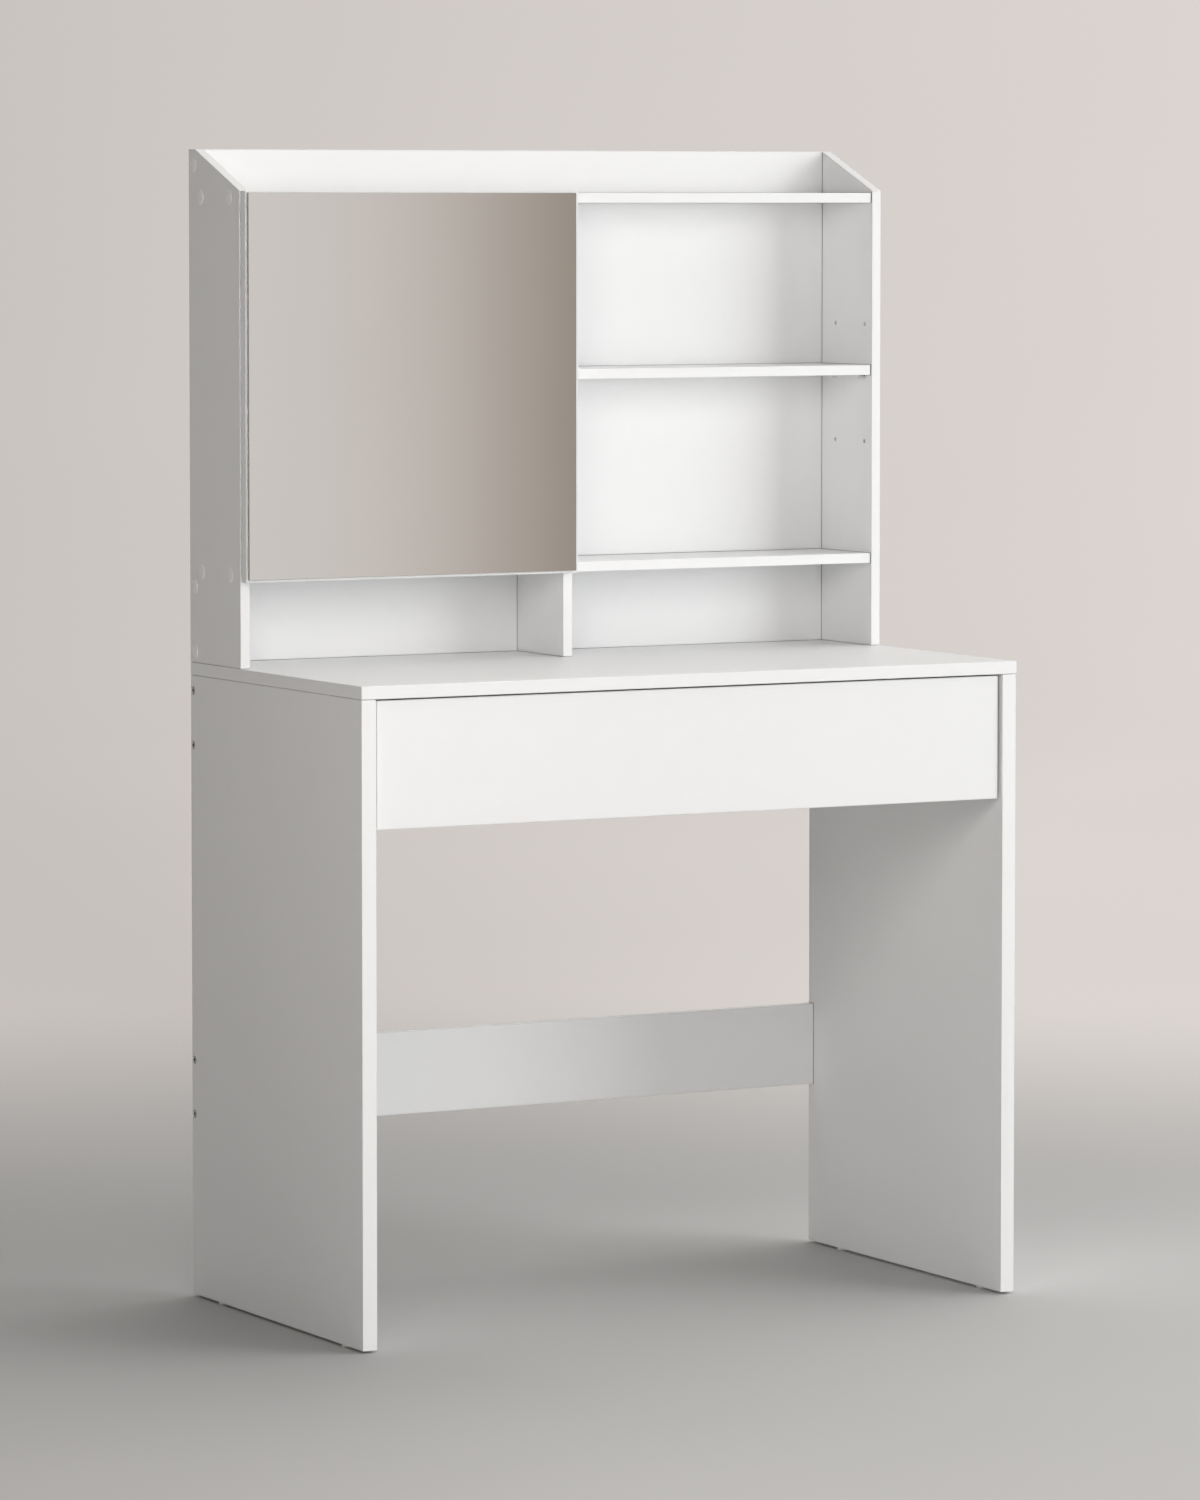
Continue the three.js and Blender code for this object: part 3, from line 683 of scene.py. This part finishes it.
def runner_parts(side, s):
    """Screws, pressed beads and the end stop that show on a drawer runner when the drawer is open."""
    mm = 0.001
    for i, y in enumerate((-182, -84, 96)):
        place = (s * 0.4003, y * mm, 0.650)
        profile = [(0, 1.5 * mm), (1.8 * mm, 1.4 * mm), (2.7 * mm, 1.05 * mm), (3.15 * mm, 0.5 * mm), (3.2 * mm, 0.02 * mm), (3.2 * mm, -0.02 * mm), (1.7 * mm, -0.05 * mm), (1.7 * mm, -1.15 * mm), (0, -1.15 * mm)]
        obj = turned(f"runner_screw_{side}_{i + 1}", profile, place, (s, 0, 0), 36)
        bm = cross(1.5 * mm, 0.9 * mm, 1.75 * mm, 0.33 * mm)
        bm.transform(Matrix.Translation(Vector(place)) @ basis((s, 0, 0)) @ Matrix.Rotation(0.4 + 0.7 * i, 4, "Z"))
        carve(obj, [from_bmesh("recess", bm)])
        obj.data.materials.append(ZINC)
        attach(obj, "drawer")
    turn = Matrix(((0, 0, s, 0), (s, 0, 0, 0), (0, 1, 0, 0), (0, 0, 0, 1)))
    for i, (y, half, r) in enumerate(((-176, 0.0, 4.2), (-134, 20.0, 3.4), (-92, 0.0, 4.2))):
        bm = bmesh.new()
        rings = []
        for inset, h in ((0.0, -0.05), (0.0, 0.0), (0.35, 0.16), (0.8, 0.36), (1.3, 0.44)):
            rr = r - inset
            pts = [(half + rr * math.cos(a), rr * math.sin(a)) for a in [math.pi * (k / 12 - 0.5) for k in range(13)]]
            pts += [(-half + rr * math.cos(a), rr * math.sin(a)) for a in [math.pi * (k / 12 + 0.5) for k in range(13)]]
            rings.append([bm.verts.new((x * mm, y2 * mm, h * mm)) for x, y2 in pts])
        n = len(rings[0])
        for a, b in zip(rings, rings[1:]):
            for k in range(n):
                m = (k + 1) % n
                bm.faces.new((a[k], a[m], b[m], b[k]))
        bm.faces.new(rings[-1])
        bm.faces.new(list(reversed(rings[0])))
        bmesh.ops.remove_doubles(bm, verts=bm.verts, dist=1e-7)
        bm.transform(Matrix.Translation((s * 0.4069, y * mm, 0.650)) @ turn)
        obj = from_bmesh(f"runner_bead_{side}_{i + 1}", bm, 60)
        obj.data.materials.append(ZINC)
        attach(obj, "slide_middles")
    bm = bmesh.new()
    outline = [(0, -11.5), (5.2, -11.5), (6.4, -10.2), (6.4, -3.4), (4.4, -2.2), (4.4, 2.2), (6.4, 3.4), (6.4, 10.2), (5.2, 11.5), (0, 11.5)]
    prism(bm, [(y * mm, z * mm) for y, z in outline], 0.0, 3.1 * mm)
    bm.transform(Matrix.Translation((s * 0.4023, -0.1990, 0.650)) @ Matrix(((0, 0, 1, 0), (1, 0, 0, 0), (0, 1, 0, 0), (0, 0, 0, 1))) if s > 0 else
                 Matrix.Translation((-0.4054, -0.1990, 0.650)) @ Matrix(((0, 0, 1, 0), (1, 0, 0, 0), (0, 1, 0, 0), (0, 0, 0, 1))))
    obj = from_bmesh(f"runner_stop_{side}", bm)
    b = obj.modifiers.new("bevel", "BEVEL")
    b.width = 0.00035
    b.segments = 2
    b.limit_method = "ANGLE"
    b.harden_normals = True
    obj.data.materials.append(DARK_PLASTIC)
    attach(obj, "slide_middles")


runner_parts("left", -1)
runner_parts("right", 1)

# ---------------------------------------------------------- stage and light


R_BOWL, FILLET, WALL_TOP = 12.0, 4.0, 7.0


def bowl_mesh(name, first, lift):
    """A floor from the given radius outwards that turns up into a wall all round."""
    n = 96
    profile = [(r, lift) for r in (0.0, 0.6, 1.2, 2.0, 3.0, 4.5, 6.0) if r >= first]
    for k in range(0, 17):
        a = math.pi / 2 * k / 16
        profile.append((R_BOWL - FILLET + (FILLET - lift) * math.sin(a), FILLET - (FILLET - lift) * math.cos(a)))
    profile.append((R_BOWL - lift, WALL_TOP))
    bm = bmesh.new()
    rings = []
    for r, h in profile:
        rings.append([bm.verts.new((0, 0, h))] if r == 0 else [bm.verts.new((r * math.cos(2 * math.pi * i / n), r * math.sin(2 * math.pi * i / n), h)) for i in range(n)])
    for a, b in zip(rings, rings[1:]):
        for i in range(n):
            j = (i + 1) % n
            if len(a) == 1:
                bm.faces.new((a[0], b[i], b[j]))
            else:
                bm.faces.new((a[i], b[i], b[j], a[j]))
    mesh = bpy.data.meshes.new(name)
    bm.to_mesh(mesh)
    bm.free()
    for p in mesh.polygons:
        p.use_smooth = True
    return link_object(name, mesh)


def ground(t):
    """Distance from the table, and how far a place lies behind it and to its right, as parts of that distance."""
    x, y, _ = t.xyz(t.p)
    radius = t.math("SQRT", t.math("ADD", t.math("MULTIPLY", x, x), t.math("MULTIPLY", y, y)))
    safe = t.math("MAXIMUM", radius, 0.05)
    behind = t.math("DIVIDE", t.math("ADD", t.math("MULTIPLY", x, 0.477), t.math("MULTIPLY", y, 0.879)), safe)
    right = t.math("DIVIDE", t.math("ADD", t.math("MULTIPLY", x, 0.879), t.math("MULTIPLY", y, -0.477)), safe)
    return radius, behind, right


def stage_bowl():
    obj = bowl_mesh("stage_floor", 0.0, 0.0)
    t = Tree("stage_paper")
    radius, behind, right = ground(t)
    shade = t.mix(t.span(radius, 1.0, 5.0, 0.0, 1.0, "SMOOTHSTEP"), FLOOR_COLOUR, WALL_COLOUR)
    shade = t.scaled(shade, t.span(t.noise(1.3, 2.0), 0.3, 0.7, 0.985, 1.01))
    # painted shade and light: the floor is darker to the left of the table and lighter to its right
    shade = t.scaled(shade, t.span(t.math("MULTIPLY", right, radius), -1.1, 1.1, 0.79, 1.09, "SMOOTHSTEP"))
    obj.data.materials.append(t.set(colour=shade, rough=0.75, normal=t.bump(t.noise(180.0, 3.0), 4e-5), spec=0.25))


def stage_backdrop():
    """Pale backdrop a little above the floor and inside the wall that glows with its own light: painted light, brighter
    behind the table and to its right. It fades in away from the table, and it is left out of the light that falls on
    the table, so that the soft lights alone shape the boards."""
    obj = bowl_mesh("stage_backdrop", 0.6, 0.004)
    t = Tree("backdrop_glow")
    radius, behind, right = ground(t)
    # painted light: the glow is brighter behind the table and to its right, and dimmer to its left
    glow_level = t.math("MULTIPLY", t.span(behind, 0.60, 0.93, 0.74, 1.0, "SMOOTHSTEP"), t.span(right, -0.22, 0.16, 0.80, 1.0))
    glow_level = t.math("MULTIPLY", glow_level, t.span(t.noise(0.5, 2.0), 0.3, 0.7, 0.985, 1.01))
    glow = t.node("ShaderNodeEmission")
    glow.inputs["Color"].default_value = (*PALE, 1.0)
    t.put(glow.inputs["Strength"], glow_level)
    clear = t.node("ShaderNodeBsdfTransparent")
    blend = t.node("ShaderNodeMixShader")
    t.put(blend.inputs[0], t.span(radius, 0.70, 3.0, 0.0, 1.0, "SMOOTHSTEP"))
    t.t.links.new(clear.outputs[0], blend.inputs[1])
    t.t.links.new(glow.outputs[0], blend.inputs[2])
    t.t.nodes.remove(t.bsdf)
    t.t.links.new(blend.outputs[0], t.out.inputs[0])
    obj.data.materials.append(t.mat)
    obj.visible_diffuse = False
    obj.visible_shadow = False
    obj.visible_transmission = False
    obj.visible_volume_scatter = False


stage_bowl()
stage_backdrop()


def reflection_card():
    """A glowing card beside the camera that only reflections see: its painted gradient, light on the left and dark
    brown on the right, is the painted reflection the mirror shows.
    """
    y = -2.6
    x0, x1, z0, z1 = 0.45, 1.85, 0.30, 1.75
    mesh = bpy.data.meshes.new("stage_card")
    mesh.from_pydata([(x0, y, z0), (x1, y, z0), (x1, y, z1), (x0, y, z1)], [], [(0, 1, 2, 3)])
    obj = link_object("stage_card", mesh)
    mat = bpy.data.materials.new("card_painted_reflection")
    mat.use_nodes = True
    t = mat.node_tree
    t.nodes.clear()
    coord = t.nodes.new("ShaderNodeTexCoord")
    sep = t.nodes.new("ShaderNodeSeparateXYZ")
    t.links.new(coord.outputs["Object"], sep.inputs[0])
    ramp = t.nodes.new("ShaderNodeValToRGB")
    ramp.color_ramp.interpolation = "B_SPLINE"
    span = t.nodes.new("ShaderNodeMapRange")
    t.links.new(sep.outputs[0], span.inputs["Value"])
    span.inputs["From Min"].default_value = 0.80
    span.inputs["From Max"].default_value = 1.50
    t.links.new(span.outputs[0], ramp.inputs[0])
    stops = [(0.0, (0.685, 0.642, 0.618)), (0.27, (0.665, 0.618, 0.588)), (0.55, (0.590, 0.533, 0.494)), (0.82, (0.388, 0.338, 0.295)), (1.0, (0.315, 0.268, 0.228))]
    el = ramp.color_ramp.elements
    while len(el) < len(stops):
        el.new(0.5)
    for e, (pos, c) in zip(el, stops):
        e.position = pos
        e.color = (*c, 1.0)
    glow = t.nodes.new("ShaderNodeEmission")
    t.links.new(ramp.outputs[0], glow.inputs["Color"])

    def fade(value, a, b):
        n = t.nodes.new("ShaderNodeMapRange")
        n.interpolation_type = "SMOOTHSTEP"
        t.links.new(value, n.inputs["Value"])
        n.inputs["From Min"].default_value = a
        n.inputs["From Max"].default_value = b
        return n.outputs[0]

    def times(a, b):
        n = t.nodes.new("ShaderNodeMath")
        n.operation = "MULTIPLY"
        t.links.new(a, n.inputs[0])
        t.links.new(b, n.inputs[1])
        return n.outputs[0]

    mask = times(times(fade(sep.outputs[0], x0, x0 + 0.3), fade(sep.outputs[0], x1, x1 - 0.3)),
                 times(fade(sep.outputs[2], z0, z0 + 0.3), fade(sep.outputs[2], z1, z1 - 0.3)))
    clear = t.nodes.new("ShaderNodeBsdfTransparent")
    mix = t.nodes.new("ShaderNodeMixShader")
    t.links.new(mask, mix.inputs[0])
    t.links.new(clear.outputs[0], mix.inputs[1])
    t.links.new(glow.outputs[0], mix.inputs[2])
    out = t.nodes.new("ShaderNodeOutputMaterial")
    t.links.new(mix.outputs[0], out.inputs[0])
    mesh.materials.append(mat)
    obj.visible_camera = False
    obj.visible_diffuse = False
    obj.visible_shadow = False
    obj.visible_transmission = False
    obj.visible_volume_scatter = False


reflection_card()


def area_light(name, place, target, width, height, power, colour, glossy=True):
    data = bpy.data.lights.new(name, "AREA")
    data.shape = "RECTANGLE"
    data.size = width
    data.size_y = height
    data.energy = power
    data.color = colour
    obj = bpy.data.objects.new(name, data)
    SCENE.collection.objects.link(obj)
    obj.location = place
    obj.rotation_mode = "QUATERNION"
    obj.rotation_quaternion = (Vector(target) - Vector(place)).to_track_quat("-Z", "Y")
    obj.visible_camera = False
    obj.visible_glossy = glossy
    return obj


for light in KEYS:
    if light[5]:
        area_light(*light)


def make_world():
    """A soft studio: bright overhead and high on the right, dim on the left."""
    world = bpy.data.worlds.new("studio")
    SCENE.world = world
    world.use_nodes = True
    t = world.node_tree
    t.nodes.clear()
    coord = t.nodes.new("ShaderNodeTexCoord")
    sep = t.nodes.new("ShaderNodeSeparateXYZ")
    t.links.new(coord.outputs["Generated"], sep.inputs[0])

    def calc(op, a, b, clamp=False):
        n = t.nodes.new("ShaderNodeMath")
        n.operation = op
        n.use_clamp = clamp
        for s, v in zip(n.inputs, (a, b)):
            if isinstance(v, bpy.types.NodeSocket):
                t.links.new(v, s)
            else:
                s.default_value = v
        return n.outputs[0]

    def lobe(direction, power):
        d = Vector(direction).normalized()
        dot = t.nodes.new("ShaderNodeVectorMath")
        dot.operation = "DOT_PRODUCT"
        t.links.new(coord.outputs["Generated"], dot.inputs[0])
        dot.inputs[1].default_value = d
        return calc("POWER", calc("MAXIMUM", dot.outputs["Value"], 0.0), power)

    total = SKY_BASE
    for direction, power, strength in SKY_LOBES:
        if strength:
            total = calc("ADD", total, calc("MULTIPLY", lobe(direction, power), strength))
    total = calc("MAXIMUM", total, 0.0)
    back = t.nodes.new("ShaderNodeBackground")
    back.inputs["Color"].default_value = (*SKY_COLOUR, 1.0)
    t.links.new(total, back.inputs["Strength"])
    out = t.nodes.new("ShaderNodeOutputWorld")
    t.links.new(back.outputs[0], out.inputs[0])


make_world()

# ------------------------------------------------------------------ camera

YAW, PITCH = math.radians(28.5453), math.radians(3.4811)
cam_data = bpy.data.cameras.new("camera")
cam = bpy.data.objects.new("camera", cam_data)
SCENE.collection.objects.link(cam)
cam_data.sensor_width = 36.0
cam_data.sensor_fit = "AUTO"
cam_data.lens = 157.73
cam_data.shift_x = 0.0
cam_data.shift_y = -0.1
cam_data.clip_start = 0.1
cam_data.clip_end = 100.0
cam_data.dof.use_dof = False
cam.location = (-3.68386, -6.76215, 1.29063)
cam.rotation_mode = "XYZ"
cam.rotation_euler = (math.pi / 2 - PITCH, 0.0, -YAW)
SCENE.camera = cam

SCENE.view_settings.view_transform = "Standard"
SCENE.view_settings.look = "None"
SCENE.view_settings.exposure = 0.0
SCENE.view_settings.gamma = 1.0
